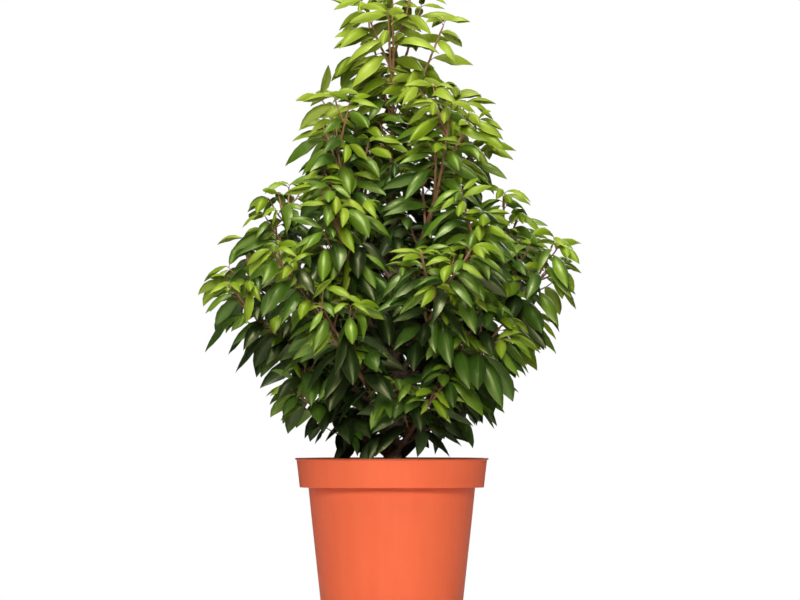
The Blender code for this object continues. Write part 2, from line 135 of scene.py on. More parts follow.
def drawRings(name, centres, radii, sides):
    # a circle drawn out ring by ring along its centres, and closed at both ends
    selectNothing()
    bpy.ops.mesh.primitive_circle_add(vertices=sides, radius=radii[0], location=centres[0])
    piece = bpy.context.object
    piece.name = name
    bpy.ops.object.transform_apply(location=True, rotation=True, scale=True)
    editAll("EDGE")
    for k in range(1, len(centres)):
        grow = radii[k] / radii[k - 1]
        move = tuple(centres[k] - centres[k - 1])
        bpy.ops.mesh.extrude_edges_move(TRANSFORM_OT_translate={"value": move})
        bpy.ops.transform.resize(value=(grow, grow, 1), center_override=centres[k])
    bpy.ops.mesh.edge_face_add()
    bpy.ops.mesh.select_all(action="DESELECT")
    shape = bmesh.from_edit_mesh(piece.data)
    for edge in shape.edges:
        if len(edge.link_faces) == 1:
            edge.select = True
    bmesh.update_edit_mesh(piece.data)
    bpy.ops.mesh.edge_face_add()
    bpy.ops.object.mode_set(mode="OBJECT")
    return piece


def turnProfile(name, profile, sides):
    return drawRings(name, [Vector((0, 0, height)) for _, height in profile], [r for r, _ in profile], sides)


def meshPiece(name, points, faces):
    mesh = bpy.data.meshes.new(name)
    mesh.from_pydata(points, [], faces)
    return putInScene(name, mesh)


def stackCopies(name, copies, faces):
    # one mesh from placed copies of a pattern that all have the same faces
    stacked = np.concatenate([faces + len(copy) * index for index, copy in enumerate(copies)])
    return meshPiece(name, np.concatenate(copies).tolist(), stacked.tolist())


# Node helpers and the shared effects

def feed(tree, node, sockets):
    # each socket gets a number, a colour, a vector or a link
    for key, value in sockets.items():
        socket = node.inputs[key]
        if isinstance(value, tuple) and socket.type == "RGBA":
            socket.default_value = (*value, 1.0)
        elif isinstance(value, (int, float, tuple)):
            socket.default_value = value
        else:
            tree.links.new(value, socket)
    return node


def addNode(tree, kind, sockets=None, **settings):
    return feed(tree, setAll(tree.nodes.new(kind), settings), sockets or {})


def mathNode(tree, operation, first, second=0.0, hold=False):
    node = addNode(tree, "ShaderNodeMath", {0: first, 1: second}, operation=operation, use_clamp=hold)
    return node.outputs[0]


def times(tree, first, second, hold=False):
    return mathNode(tree, "MULTIPLY", first, second, hold)


def weigh(tree, first, second, share):
    # the first by its share and the second by the rest, held to 0 to 1
    return mathNode(tree, "ADD", times(tree, first, share), times(tree, second, 1 - share), True)


def axesOf(tree, vector):
    return addNode(tree, "ShaderNodeSeparateXYZ", {0: vector}).outputs


def noiseNode(tree, vector, scale, detail=3.0, roughness=0.5, stretch=None):
    if stretch:
        vector = addNode(tree, "ShaderNodeMapping", dict(Scale=stretch, Vector=vector)).outputs["Vector"]
    sockets = dict(Scale=scale, Detail=detail, Roughness=roughness, Vector=vector)
    return addNode(tree, "ShaderNodeTexNoise", sockets).outputs["Fac"]


def spread(tree, value, low, high, toLow=0.0, toHigh=1.0):
    sockets = {"Value": value, "From Min": low, "From Max": high, "To Min": toLow, "To Max": toHigh}
    return addNode(tree, "ShaderNodeMapRange", sockets).outputs["Result"]


def mixColour(tree, factor, first, second):
    return addNode(tree, "ShaderNodeMix", {0: factor, 6: first, 7: second}, data_type="RGBA").outputs[2]


def newMaterial(name):
    made = bpy.data.materials.new(name)
    made.use_nodes = True
    tree = made.node_tree
    return made, tree, tree.nodes["Principled BSDF"], addNode(tree, "ShaderNodeTexCoord").outputs["Object"]


def addBump(tree, shader, height, v):
    strength, distance = v["bump"]
    bump = addNode(tree, "ShaderNodeBump", dict(Height=height, Strength=strength, Distance=distance))
    feed(tree, shader, dict(Normal=bump.outputs["Normal"]))


def newGroup(name, inputs, outputs):
    # a node group from the names and kinds of its sockets
    group = bpy.data.node_groups.new(name, "ShaderNodeTree")
    for way, sockets in (("INPUT", inputs), ("OUTPUT", outputs)):
        for socket in sockets.split(", "):
            label, kind = socket.split()
            group.interface.new_socket(name=label, in_out=way, socket_type="NodeSocket" + kind)
    return group, addNode(group, "NodeGroupInput").outputs, addNode(group, "NodeGroupOutput")


def placeGroup(tree, group, **sockets):
    return addNode(tree, "ShaderNodeGroup", sockets, node_tree=group).outputs


def makeMottle():
    # uneven colour at two sizes, used on pot, compost, bark, twigs and leaf stalks
    group, given, out = newGroup(
        "mottle", "Place Vector, Colour Color, Other Color, Coarse Float, Fine Float, Amount Float",
        "Colour Color, Mask Float")
    coarse, fine = (noiseNode(group, given["Place"], given[label], 4.0) for label in ("Coarse", "Fine"))
    mask = spread(group, weigh(group, coarse, fine, 0.65), 0.38, 0.62)
    amount = times(group, mask, given["Amount"], True)
    feed(group, out, dict(Colour=mixColour(group, amount, given["Colour"], given["Other"]), Mask=mask))
    return group


bladeValues = dict(
    midrib=(0.052, 0.012), midribShare=0.75, veins=62.0, veinSlant=46.0, veinShare=0.16, paintedRimLightShare=0.50,
    patchScale=55.0, ownShare=0.75, smudgeScale=140.0, rough=(0.33, 0.50), midribDeep=0.9, veinDeep=0.35,
)


def makeBladeGroup(v):
    # midrib, side veins and a lighter edge of one leaf, the edge painted light shining through the thin
    # margin, from its own map: across is 0 to 1, along is 0 to 1
    group, given, out = newGroup(
        "leafBlade", "Map Vector, Tone Float, Place Vector, Blade Color, Light Color, Vein Color",
        "Colour Color, Height Float, Roughness Float")
    across, along, _ = axesOf(group, given["Map"])
    side = mathNode(group, "ABSOLUTE", mathNode(group, "SUBTRACT", across, 0.5))
    taper = spread(group, along, 0.0, 1.0, *v["midrib"])
    midrib = mathNode(group, "SUBTRACT", 1.0, mathNode(group, "DIVIDE", side, taper), True)
    slant = times(group, side, v["veinSlant"])
    wave = mathNode(group, "SINE", mathNode(group, "SUBTRACT", times(group, along, v["veins"]), slant))
    veins = times(group, spread(group, wave, 0.86, 1.0), spread(group, side, 0.5, 0.3), True)
    # painted light: the blade's edge is lighter, as if lit through its thin margin
    rim = spread(group, side, 0.455, 0.5)
    patches = spread(group, noiseNode(group, given["Place"], v["patchScale"]), 0.35, 0.65)
    tone = weigh(group, given["Tone"], patches, v["ownShare"])
    colour = mixColour(group, tone, given["Blade"], given["Light"])
    for mask, share in ((veins, "veinShare"), (rim, "paintedRimLightShare"), (midrib, "midribShare")):
        colour = mixColour(group, times(group, mask, v[share], True), colour, given["Vein"])
    ribs = times(group, mathNode(group, "ABSOLUTE", wave), v["veinDeep"])
    height = mathNode(group, "SUBTRACT", ribs, times(group, midrib, v["midribDeep"]))
    smudge = noiseNode(group, given["Place"], v["smudgeScale"], 2.0)
    rough = spread(group, smudge, 0.3, 0.7, *v["rough"])
    feed(group, out, dict(Colour=colour, Height=height, Roughness=rough))
    return group


mottle = makeMottle()
leafBlade = makeBladeGroup(bladeValues)


def mottledMaterial(name, v):
    # a material whose colour and roughness follow the mottle
    made, tree, shader, place = newMaterial(name)
    body = placeGroup(tree, mottle, Place=place, **v["mottle"])
    rough = spread(tree, body["Mask"], 0.0, 1.0, *v["rough"])
    feed(tree, shader, {"Base Color": body["Colour"], "Roughness": rough})
    return made, tree, shader, place, body["Colour"]


print("stage: shared effects ready")


# Pot: a tapered nursery pot with a deep band round its rim

potValues = dict(
    height=0.240, lipRadius=0.136, lipHeight=0.0025, bandTop=0.134, bandFoot=0.1296, bandHeight=0.0415,
    bodyTop=0.1175, base=0.096, baseEdge=0.002, wall=0.0024, floor=0.003, edge=0.0005, sides=96,
    drains=8, drainRadius=0.006, drainCircle=0.068, drainSides=20, smooth=34,
    mottle=dict(Colour=(0.78, 0.128, 0.046), Other=(0.86, 0.176, 0.074), Coarse=9.0, Fine=420.0, Amount=0.20),
    # the dark colour just under the band, with its reach and share, is a painted shadow
    flow=0.22, dust=(0.60, 0.24, 0.14), dustHeight=0.03, dustShare=0.35, underBandShadow=(0.50, 0.055, 0.022),
    # the lip's dark line colour and its share are painted shade
    underBandShadowReach=0.011, underBandShadowShare=0.6, lipShadeLine=(0.24, 0.055, 0.028), lipShadeShare=0.8, rough=(0.41, 0.53),
    gloss=0.16, bump=(0.12, 0.0006),
)
potLedge = potValues["height"] - potValues["bandHeight"]


def buildPot(v):
    top, wall, foot, edge, floor = v["height"], v["wall"], v["baseEdge"], v["edge"], v["floor"]
    base, body, bandFoot, band, lip = v["base"], v["bodyTop"], v["bandFoot"], v["bandTop"], v["lipRadius"]
    ledge = potLedge
    under = top - v["lipHeight"]
    taper = (body - base) / ledge
    profile = [
        (base - foot * 2.5, 0.0), (base - foot, 0.0), (base - foot * 0.3, foot * 0.35),
        (base + taper * foot, foot),
        *[(base + taper * ledge * share, ledge * share) for share in (0.25, 0.5, 0.75)],
        (body - edge, ledge - edge * 4), (body, ledge), (bandFoot - edge * 1.4, ledge),
        (bandFoot, ledge + edge * 1.6), ((bandFoot + band) / 2, (ledge + top) / 2),
        (band, under - edge * 0.8), (band + edge * 0.8, under), (lip - edge, under), (lip, under + edge),
        (lip, top - edge * 1.2), (lip - edge * 1.2, top), (band - wall + edge * 1.2, top),
        (band - wall, top - edge * 1.2), (bandFoot - wall, ledge + wall), (body - wall, ledge + wall),
        (body - wall - edge * 1.2, ledge + wall - edge * 3), (base - wall, floor), (base * 0.4, floor),
    ]
    pot = turnProfile("potShell", profile, v["sides"])
    for index in range(v["drains"]):
        selectNothing()
        bpy.ops.mesh.primitive_cylinder_add(
            vertices=v["drainSides"], radius=v["drainRadius"], depth=floor * 4,
            location=ring(v["drainCircle"], tau * (index + 0.5) / v["drains"], floor / 2))
        cutter = bpy.context.object
        addStep(pot, "BOOLEAN", operation="DIFFERENCE", solver="EXACT", object=cutter)
        applySteps(pot)
        bpy.data.objects.remove(cutter)
    settle(pot, v["smooth"])
    return pot


def potFinish(v):
    # moulded plastic: flow marks down the wall, dust low down, a painted shadow under the band and painted
    # shade as a dark line at the lip
    made, tree, shader, place = newMaterial("terracottaPlastic")
    height = axesOf(tree, place)[2]
    flow = noiseNode(tree, place, 14.0, stretch=(6.0, 6.0, 0.35))
    dusty = spread(tree, noiseNode(tree, place, 60.0, 5.0, 0.6), 0.42, 0.66)
    # painted shadow: the wall darkens just under the band's ledge, where the band's shade falls
    underBandShadowFade = mathNode(tree, "POWER", spread(tree, height, potLedge - v["underBandShadowReach"], potLedge), 1.6)
    underBandShadowMask = mathNode(tree, "LESS_THAN", height, potLedge + v["edge"] * 0.4)
    top = v["height"]
    # painted shade: a dark line along the top of the lip
    lip = spread(tree, height, top - v["lipHeight"], top - v["edge"] * 2.4, 0.0, v["lipShadeShare"])
    layers = (
        (spread(tree, flow, 0.42, 0.75, 0.0, v["flow"]), v["mottle"]["Other"]),
        (times(tree, spread(tree, height, v["dustHeight"], 0.0, 0.0, v["dustShare"]), dusty), v["dust"]),
        # painted shadow under the band
        (times(tree, times(tree, underBandShadowMask, underBandShadowFade), v["underBandShadowShare"]), v["underBandShadow"]),
        (lip, v["lipShadeLine"]),
    )
    colour = placeGroup(tree, mottle, Place=place, **v["mottle"])["Colour"]
    for mask, layer in layers:
        colour = mixColour(tree, mask, colour, layer)
    rough = spread(tree, noiseNode(tree, place, 240.0, 2.0), 0.3, 0.7, *v["rough"])
    feed(tree, shader, {"Base Color": colour, "Roughness": rough, "Specular IOR Level": v["gloss"]})
    grain = times(tree, noiseNode(tree, place, 1500.0, 2.0), 0.3)
    addBump(tree, shader, mathNode(tree, "ADD", grain, flow), v)
    return made


potShell = buildPot(potValues)
finishPiece(potShell, potFinish(potValues), ["pot"])


# Compost: fills the pot, with a crumbly top

compostValues = dict(
    below=0.020, rise=0.0035, flat=0.026, easeWidth=0.02, lumps=0.24, grains=0.22, sides=96, rings=26,
    gap=0.0005, smooth=40, crumbs=620, crumbSize=(0.0012, 0.0042), crumbSquash=(1.0, 0.8, 0.6),
    crumbMargin=0.006, crumbTilt=0.7, crumbEase=2.2, crumbSmooth=25, seed=7, gloss=0.12, rough=(0.82, 0.98),
    crumbRough=dict(offset=0.35, uniform=0.6, seed=4), bump=(0.8, 0.0015),
    lumpWaves=(190, 150, 230, 120), lumpBend=(1.3, 1.7), grainWaves=(910, 340, 870, 260),
    mottle=dict(Colour=(0.030, 0.018, 0.011), Other=(0.105, 0.065, 0.040), Coarse=85, Fine=900, Amount=0.75),
)


def potInside(height):
    # radius inside the wall at a height
    v = potValues
    wall = v["wall"]
    above = height - potLedge - wall
    if above > 0:
        return between(v["bandFoot"], v["bandTop"], above / (v["bandHeight"] - wall)) - wall
    return between(v["base"], v["bodyTop"], height / potLedge) - wall


def buildCompost(v):
    gap, floor = v["gap"], potValues["floor"]
    top = potValues["height"] - v["below"]
    shelf = potLedge + potValues["wall"] + gap
    rim = potInside(top) - gap
    profile = [(potInside(floor) * 0.5, floor + gap), (potInside(floor) - gap * 2, floor + gap),
               (potInside(potLedge) - gap * 2, shelf), (potInside(shelf + gap) - gap, shelf)]
    profile += [(rim * (1 - 0.95 * k / v["rings"]), top) for k in range(v["rings"] + 1)]
    soil = turnProfile("compostFill", profile, v["sides"])
    broad, fine, bend = v["lumpWaves"], v["grainWaves"], v["lumpBend"]
    for vert in soil.data.vertices:
        x, y, z = vert.co
        radius = hypot(x, y)
        if abs(z - top) < 1e-6 and radius < rim - gap:
            ease = within((radius - v["flat"]) / v["easeWidth"])
            lumps = sin(x * broad[0] + bend[0] * sin(y * broad[1]))
            lumps += sin(y * broad[2] + bend[1] * sin(x * broad[3] + 2))
            grains = sin(x * fine[0] + y * fine[1]) * sin(y * fine[2] - x * fine[3])
            vert.co.z += v["rise"] * ease * (v["lumps"] * lumps + v["grains"] * grains)
    settle(soil, v["smooth"])
    return soil


def buildCrumbs(v, soil):
    # one crumb roughed up, and copies of it half sunk in the top
    selectNothing()
    bpy.ops.mesh.primitive_ico_sphere_add(subdivisions=1, radius=1.0)
    crumb = bpy.context.object
    editAll()
    bpy.ops.transform.vertex_random(**v["crumbRough"])
    bpy.ops.transform.resize(value=v["crumbSquash"], center_override=(0, 0, 0))
    bpy.ops.object.mode_set(mode="OBJECT")
    pattern = np.array([tuple(vert.co) for vert in crumb.data.vertices])
    faces = np.array([tuple(face.vertices) for face in crumb.data.polygons])
    bpy.data.objects.remove(crumb)
    rng = random.Random(v["seed"])
    ground = BVHTree.FromPolygons([vert.co for vert in soil.data.vertices],
                                  [tuple(face.vertices) for face in soil.data.polygons])
    rim = potInside(potValues["height"] - v["below"]) - v["crumbMargin"]
    copies = []
    for _ in range(v["crumbs"]):
        radius = rim * sqrt(rng.uniform(0.02, 1.0))
        hit = ground.ray_cast(ring(radius, rng.uniform(0, tau), 0.30), -up)[0]
        if hit is None or radius < v["flat"] * 0.8:
            continue
        size = between(*v["crumbSize"], rng.random() ** v["crumbEase"])
        turn = Matrix.Rotation(rng.uniform(0, tau), 3, "Z")
        turn = turn @ Matrix.Rotation(rng.uniform(-v["crumbTilt"], v["crumbTilt"]), 3, "X")
        copies.append((pattern * size) @ np.array(turn).T + np.array(hit))
    crumbs = stackCopies("compostCrumbs", copies, faces)
    settle(crumbs, v["crumbSmooth"])
    return crumbs


def compostFinish(v):
    made, tree, shader, place, _ = mottledMaterial("peatCompost", v)
    feed(tree, shader, {"Specular IOR Level": v["gloss"]})
    addBump(tree, shader, noiseNode(tree, place, 700.0, 6.0, 0.65), v)
    return made


compostFill = buildCompost(compostValues)
compostCrumbs = buildCrumbs(compostValues, compostFill)
peat = compostFinish(compostValues)
finishPiece(compostFill, peat, ["compost"])
finishPiece(compostCrumbs, peat, ["compost"])


# Growth plan: trunk, whorls of limbs, and each mass's stem and side shoots

growValues = dict(
    seed=433, footX=0.003, topX=0.004, foot=0.220, top=0.660, footRadius=0.0122, topRadius=0.0030, taper=0.80,
    sway=0.005, flare=0.0065, flareHeight=0.012, lobes=5,
    tiers=(
        dict(name="skirt", count=4, turn=-64, root=0.252, reach=0.141, tip=0.325, tilt=-0.006, lean=-0.008,
             rise=28, share=0.34, shoots=3, length=0.075),
        dict(name="low", count=5, turn=32, root=0.292, reach=0.203, tip=0.425, tilt=-0.033, lean=-0.013,
             rise=33, share=0.34, shoots=4, length=0.096),
        dict(name="wide", count=6, turn=51, root=0.335, reach=0.223, tip=0.500, tilt=0.005, lean=0.003,
             rise=30, share=0.36, shoots=4, length=0.105),
        dict(name="shoulder", count=5, turn=-49, root=0.400, reach=0.174, tip=0.581, tilt=-0.016, lean=0.013,
             rise=14, share=0.34, shoots=4, length=0.105),
        dict(name="upper", count=4, turn=-52, root=0.490, reach=0.115, tip=0.712, tilt=0.013, lean=0.009,
             rise=45, share=0.30, shoots=4, length=0.100),
    ),
    leaderTip=0.8665, leaderShoots=7, leaderTurn=347, leaderLength=0.1829, leaderShrink=0.8082, belly=0.52,
    stagger=0.009, limbRoot=0.0052, limbTip=0.0015, stemRings=4, gap=0.0003,
    sideFirst=0.12, sideLast=0.82, sideAngle=46, sideShrink=0.4709, sideRadius=0.0021, sideTaper=0.62,
    sideLift=0.9629, sideMargin=0.006, sideSpots=4, sideSpread=(0.85, 1.1), mostDown=-0.15, tries=18,
    tryTurn=0.55, tryShrink=0.05, spaceStep=0.010, clearance=0.0012, lowest=0.2425, guardFoot=0.240,
)


def trunkAxis(height):
    g = growValues
    share = (height - g["foot"]) / (g["top"] - g["foot"])
    sway = g["sway"] * sin(share * tau * 1.25)
    return Vector((between(g["footX"], g["topX"], share) - sway, sway * 0.8, height))


def trunkRadius(height):
    g = growValues
    share = within((height - g["foot"]) / (g["top"] - g["foot"]))
    return between(g["topRadius"], g["footRadius"], (1.0 - share) ** g["taper"])


def planLimbs():
    g = growValues
    limbs = []
    for tier in g["tiers"]:
        for index in range(tier["count"]):
            out = ring(1.0, radians(tier["turn"] + 360.0 * index / tier["count"]), 0.0)
            root = trunkAxis(tier["root"] + g["stagger"] * (index % 3 - 1))
            tip = out * tier["reach"] + up * (tier["tip"] + tier["tilt"] * out.x)
            tip.x += tier["lean"]
            rise = radians(tier["rise"])
            first = out * cos(rise) + up * sin(rise)
            bend = root + first * (tip - root).length * g["belly"]
            limbs.append(dict(tier, tier=tier["name"], curve=(root, bend, tip), radius=g["limbRoot"],
                              shrink=g["sideShrink"], turn=None))
    root = trunkAxis(g["top"])
    tip = Vector((g["topX"] - 0.003, 0.004, g["leaderTip"]))
    limbs.append(dict(tier="leader", curve=(root, (root + tip) / 2 + Vector((0.004, 0, 0)), tip),
                      radius=g["topRadius"], share=0.0, shoots=g["leaderShoots"], length=g["leaderLength"],
                      shrink=g["leaderShrink"], turn=g["leaderTurn"]))
    return limbs


def along(curve, share):
    root, bend, tip = curve
    return root * (1 - share) ** 2 + bend * 2 * share * (1 - share) + tip * share ** 2


def tangent(curve, share):
    root, bend, tip = curve
    return (bend - root) * 2 * (1 - share) + (tip - bend) * 2 * share


def limbRadius(limb, share):
    return between(growValues["limbTip"], limb["radius"], max(1 - share, 0.0) ** 1.2)


def limbPath(limb, shares):
    return [along(limb["curve"], s) for s in shares], [limbRadius(limb, s) for s in shares]


def bareLimb(limb, count):
    # points and radii of the part of a bough between the trunk and its mass
    return limbPath(limb, [limb["share"] * k / count for k in range(count + 1)])


def tubeShape(path, radii, sides):
    points, faces = [], []
    across = (path[1] - path[0]).orthogonal().normalized()
    for index, spot in enumerate(path):
        heading = (path[min(index + 1, len(path) - 1)] - path[max(index - 1, 0)]).normalized()
        across = (across - heading * across.dot(heading)).normalized()
        other = heading.cross(across)
        for side in range(sides):
            around = tau * side / sides
            points.append(spot + (across * cos(around) + other * sin(around)) * radii[index])
    for row in range(len(path) - 1):
        for side in range(sides):
            a = row * sides + side
            b = row * sides + (side + 1) % sides
            faces.append((a, b, b + sides, a + sides))
    faces.append(tuple(reversed(range(sides))))
    faces.append(tuple(range((len(path) - 1) * sides, len(path) * sides)))
    return points, faces


def tubeTree(path, radii):
    return BVHTree.FromPolygons(*tubeShape(path, radii, 3))


def leanOut(axis, side, around, angle):
    # a heading at an angle to the axis, on its side after a turn round it
    return axis * cos(angle) + (Matrix.Rotation(around, 3, axis) @ side) * sin(angle)


def joinTubes(tubes):
    # one list of points and faces from (path, radii, sides) of many tubes
    points, faces = [], []
    for tube in tubes:
        morePoints, moreFaces = tubeShape(*tube)
        faces += [tuple(len(points) + i for i in face) for face in moreFaces]
        points += morePoints
    return points, faces


def stemStart(limb):
    return limb["share"] + growValues["gap"] * 1.2 / tangent(limb["curve"], limb["share"]).length


def planStem(limb):
    first = stemStart(limb)
    rings = growValues["stemRings"]
    return limbPath(limb, [first + (1 - first) * k / rings for k in range(rings + 1)])


def kdOf(spots):
    tree = KDTree(len(spots))
    for index, spot in enumerate(spots):
        tree.insert(spot, index)
    tree.balance()
    return tree


def spacesOf(paths):
    # for each stem, the spots along it and the spots along all others
    spots = []
    for path in paths:
        own = []
        for a, b in zip(path, path[1:]):
            steps = max(1, round((b - a).length / growValues["spaceStep"]))
            own += [a.lerp(b, (k + 0.5) / steps) for k in range(steps)]
        spots.append(own)
    return [(kdOf(own), kdOf([spot for order, other in enumerate(spots) if order != index for spot in other]))
            for index, own in enumerate(spots)]


def staysHome(spots, space, margin):
    own, others = space
    return all(spot.z >= growValues["lowest"] and others.find(spot)[2] - own.find(spot)[2] >= margin * 2
               for spot in spots)


def limbsGuard(limbs):
    # trunk and bare boughs, a little thicker than they are
    g = growValues
    heights = [g["guardFoot"] + (g["top"] - g["guardFoot"]) * k / 24 for k in range(-1, 25)]
    tubes = [([trunkAxis(h) for h in heights], [trunkRadius(h) + g["clearance"] for h in heights], 10)]
    for limb in limbs:
        if limb["share"] > 0:
            path, radii = bareLimb(limb, 6)
            tubes.append((path, [radius + g["clearance"] for radius in radii], 8))
    return BVHTree.FromPolygons(*joinTubes(tubes))


def planShoots(limb, stem, space, guard, strangers, rng):
    g = growValues
    first = stemStart(limb)
    shoots = [stem]
    around = rng.uniform(0, tau) if limb["turn"] is None else radians(limb["turn"])
    sideAngle = radians(g["sideAngle"])
    for index in range(limb["shoots"]):
        share = g["sideFirst"] + (g["sideLast"] - g["sideFirst"]) * index / (limb["shoots"] - 1)
        at = first + (1 - first) * share
        start = along(limb["curve"], at)
        axis = (along(limb["curve"], min(at + 0.02, 1.0)) - along(limb["curve"], at - 0.02)).normalized()
        level = up.cross(axis)
        if level.length < 0.3:
            level = Vector((1.0, 0.0, 0.0)) - axis * axis.x
        level.normalize()
        size = limb["length"] * (1.0 - limb["shrink"] * share) * rng.uniform(*g["sideSpread"])
        for attempt in range(g["tries"]):
            heading = leanOut(axis, level, around + attempt * g["tryTurn"], sideAngle)
            heading.z = max(heading.z, g["mostDown"])
            heading = (heading.normalized() + up * g["sideLift"]).normalized()
            path = [start.copy(), start + heading * (size * (1.0 - g["tryShrink"] * attempt))]
            spots = [path[0].lerp(path[1], k / g["sideSpots"]) for k in range(1, g["sideSpots"] + 1)]
            if not staysHome(spots, space, g["sideMargin"]):
                continue
            radii = [g["sideRadius"], g["sideRadius"] * g["sideTaper"]]
            solid = tubeTree(path, [radius + g["gap"] for radius in radii])
            if solid.overlap(guard) or any(solid.overlap(other) for other in strangers):
                continue
            shoots.append((path, radii))
            break
        around += goldenAngle
    return shoots


def planGrowth():
    limbs = planLimbs()
    stems = [planStem(limb) for limb in limbs]
    spaces = spacesOf([path for path, _ in stems])
    guard = limbsGuard(limbs)
    solids = [[tubeTree(*stem)] for stem in stems]
    shoots = []
    for index, (limb, stem) in enumerate(zip(limbs, stems)):
        strangers = [tree for order, trees in enumerate(solids) if order != index for tree in trees]
        rng = random.Random(growValues["seed"] + index)
        shoots.append(planShoots(limb, stem, spaces[index], guard, strangers, rng))
        solids[index] += [tubeTree(*shoot) for shoot in shoots[-1][1:]]
    return limbs, shoots, guard


limbs, massShoots, guard = planGrowth()
bareLimbs = [limb for limb in limbs if limb["share"] > 0]
print("stage: growth plan", len(limbs), sum(len(shoots) for shoots in massShoots))


# Twigs: each planned shoot as a smooth curve that grows on a little, with finer twigs on it

twigValues = dict(
    step=0.0055, growOn=0.015, growSpread=(0.7, 1.2), growLift=0.25, growTaper=0.84, sag=0.07, kink=0.00035,
    knob=0.14, knobSpread=(-0.6, 1.2), blunt=0.5, seat=0.7, mostDown=-0.2, smooth=60,
    fineEvery=0.040, fineFirst=0.30, fineLast=0.93, fineLength=(0.026, 0.046), fineAngle=46, fineLift=0.75,
    fineRadius=0.0013, fineTip=0.0008, fineTop=0.76, room=0.015, lowest=0.256, tries=7, tryTurn=0.9,
    innerFirst=0.018, innerEvery=0.024, innerLength=(0.034, 0.062), spurEvery=(0.011, 0.022), spurEase=0.12,
    spurLength=(0.036, 0.070), spurLow=0.250, spurHigh=0.755, spurAngle=62, seed=11, rough=(0.45, 0.7),
    mottle=dict(Colour=(0.190, 0.080, 0.038), Other=(0.31, 0.165, 0.080), Coarse=120, Fine=900, Amount=0.8),
    green=(0.50, 0.28, 0.100), greenHeights=(0.55, 0.92), greenShare=0.55, bump=(0.35, 0.0006),
)


def lengthsAlong(path):
    lengths = [0.0]
    for a, b in zip(path, path[1:]):
        lengths.append(lengths[-1] + (b - a).length)
    return lengths


def resample(path, radii, step):
    # evenly spaced points and radii along a path
    lengths = lengthsAlong(path)
    count = max(2, round(lengths[-1] / step) + 1)
    points, sizes = [], []
    part = 0
    for index in range(count):
        at = lengths[-1] * index / (count - 1)
        while part < len(path) - 2 and at > lengths[part + 1]:
            part += 1
        share = (at - lengths[part]) / max(lengths[part + 1] - lengths[part], 1e-9)
        points.append(path[part].lerp(path[part + 1], share))
        sizes.append(between(radii[part], radii[part + 1], share))
    return points, sizes


def growShoot(path, radii, rng, isStem, limb):
    # the source's shoot, bent softly, and carried on by a young tip
    t = twigValues
    start, end = path[0], path[-1]
    heading = (path[-1] - path[-2]).normalized()
    if isStem:
        first = stemStart(limb)
        shares = [first - 0.02 + (1.02 - first) * k / 16 for k in range(17)]
        points = [along(limb["curve"], max(s, 0.0)) for s in shares]
        sizes = [limbRadius(limb, s) * 0.98 for s in shares]
    else:
        middle = (start + end) / 2 - up * (end - start).length * t["sag"]
        points = [along((start, middle, end), k / 8) for k in range(9)]
        sizes = [between(radii[0], radii[-1], k / 8) for k in range(9)]
    length = t["growOn"] * rng.uniform(*t["growSpread"])
    for _ in range(3):
        heading = (heading + up * t["growLift"] / 3).normalized()
        points.append(points[-1] + heading * length / 3)
        sizes.append(sizes[-1] * t["growTaper"])
    points, sizes = resample(points, sizes, t["step"])
    phase = rng.uniform(0, tau)
    for k in range(3, len(points)):
        points[k] = points[k] + ring(1.0, phase + k * 2.1, 0.0) * (t["kink"] * min((k - 2) / 4, 1.0))
    return points, sizes


def growFine(start, axis, around, angle, lengths, base, owner, taken, rng):
    # one fine twig that turns up as it grows, the first of a few tries that has room
    t = twigValues
    for attempt in range(t["tries"]):
        heading = leanOut(axis, axis.orthogonal().normalized(), around + attempt * t["tryTurn"], angle)
        heading.z = max(heading.z, t["mostDown"])
        heading.normalize()
        length = rng.uniform(*lengths)
        path = [start + heading * base]
        for _ in range(4):
            heading = (heading + up * t["fineLift"] / 4).normalized()
            path.append(path[-1] + heading * length / 4)
        near = min((spot - path[-1]).length for spot, other in taken if other != owner)
        if near < t["room"] or path[-1].z < t["lowest"]:
            continue
        sizes = [between(t["fineRadius"], t["fineTip"], k / 4) for k in range(5)]
        skip = 1 if base else 0
        if not tubeTree(path[skip:], sizes[skip:]).overlap(guard):
            return resample(path, sizes, t["step"])
    return None


